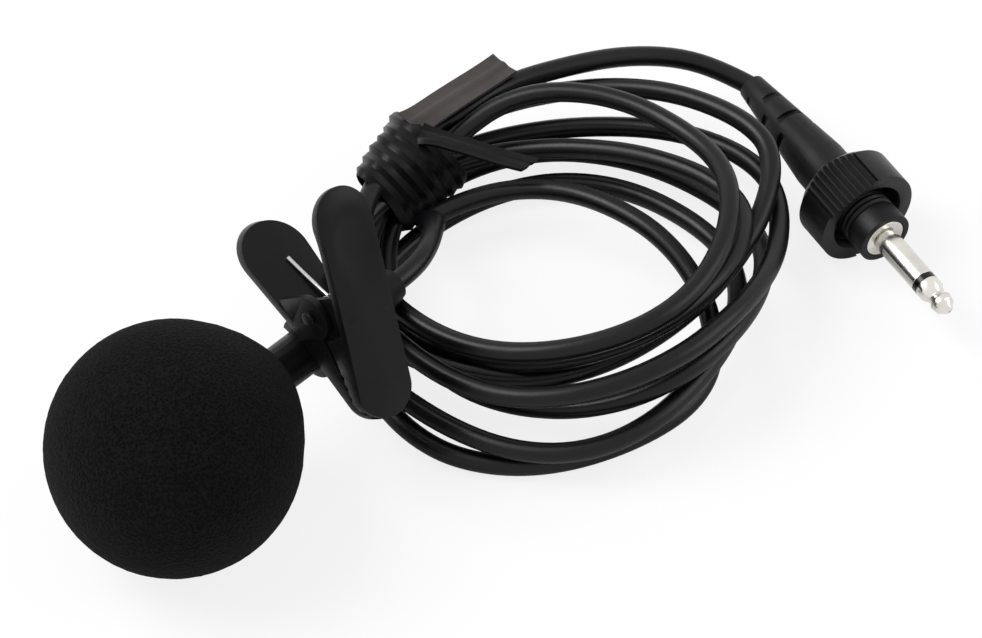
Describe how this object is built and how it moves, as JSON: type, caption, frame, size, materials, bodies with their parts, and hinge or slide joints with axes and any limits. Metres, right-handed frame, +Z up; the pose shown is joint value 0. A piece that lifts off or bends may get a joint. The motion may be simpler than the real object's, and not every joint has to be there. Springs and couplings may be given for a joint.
{
  "type": "lavalier microphone",
  "caption": "Clip-on microphone with a foam ball windscreen, a sprung alligator clip, a coiled thin cord held by a twist tie, and a 3.5 mm plug with a locking collar.",
  "frame": {"origin": "on the resting surface, under the middle of the microphone and its clip", "axes": "+X along the microphone's axis, from the windscreen to the cord; +Z up"},
  "size_m": [0.1235, 0.0762, 0.0465],
  "materials": {
    "foam": "matte open-cell foam",
    "black_metal": "satin black",
    "clip_black": "gloss black",
    "steel": "satin",
    "bright_plating": "polished",
    "capsule_can": "satin",
    "soft_black": "matte",
    "cord_jacket": "satin",
    "felt": "matte",
    "board": "matte",
    "copper": "satin",
    "tie_ribbon": "satin",
    "plug_moulding": "matte",
    "black_plastic": "gloss"
  },
  "bodies": {
    "microphone": {"capsule_housing": "black_metal", "front_grille": "steel", "dust_felt": "felt", "electret_capsule": "capsule_can", "capsule_seal": "soft_black", "fet_board": "board", "board_wires": "copper", "cord_crimp": "copper", "rear_collar": "black_metal", "strain_relief": "soft_black", "cord_lead_mic": "cord_jacket", "cord_coil": "cord_jacket", "cord_lead_plug": "cord_jacket", "twist_tie": "tie_ribbon", "plug_cover": "plug_moulding", "plug_nose": "black_plastic", "plug_sleeve": "bright_plating", "plug_insulator": "black_plastic", "plug_tip": "bright_plating", "tip_spacer": "black_plastic", "sleeve_lug": "copper", "tip_lug": "copper", "plug_crimp": "copper", "plug_wires": "copper", "nut_washer": "soft_black"},
    "windscreen": {"windscreen": "foam"},
    "clip": {"clip_lower_jaw": "clip_black", "hinge_pin": "steel", "torsion_spring": "bright_plating"},
    "upper_jaw": {"clip_upper_jaw": "clip_black"},
    "lock_collar": {"lock_nut": "black_metal"}
  },
  "joints": [
    {"name": "windscreen_pull", "type": "slide", "parent": "microphone", "child": "windscreen", "axis": [-1, 0, 0], "range_m": [0, 0.024]},
    {"name": "clip_turn", "type": "hinge", "parent": "microphone", "child": "clip", "pos_m": [0.0145, 0, 0.0166], "axis": [1, 0, 0], "range_deg": [-25, 0]},
    {"name": "jaw_open", "type": "hinge", "parent": "clip", "child": "upper_jaw", "pos_m": [0.0145, -0.00324, 0.02618], "axis": [-0.9954, 0.0654, 0.0701], "range_deg": [0, 28], "stiffness_Nm_per_rad": 0.01, "springref_deg": -34.38, "deforming": ["torsion_spring"]},
    {"name": "nut_spin", "type": "hinge", "parent": "microphone", "child": "lock_collar", "pos_m": [0.0935, -0.0035, 0.0073], "axis": [-0.2419, -0.9703, 0], "continuous": true}
  ]
}
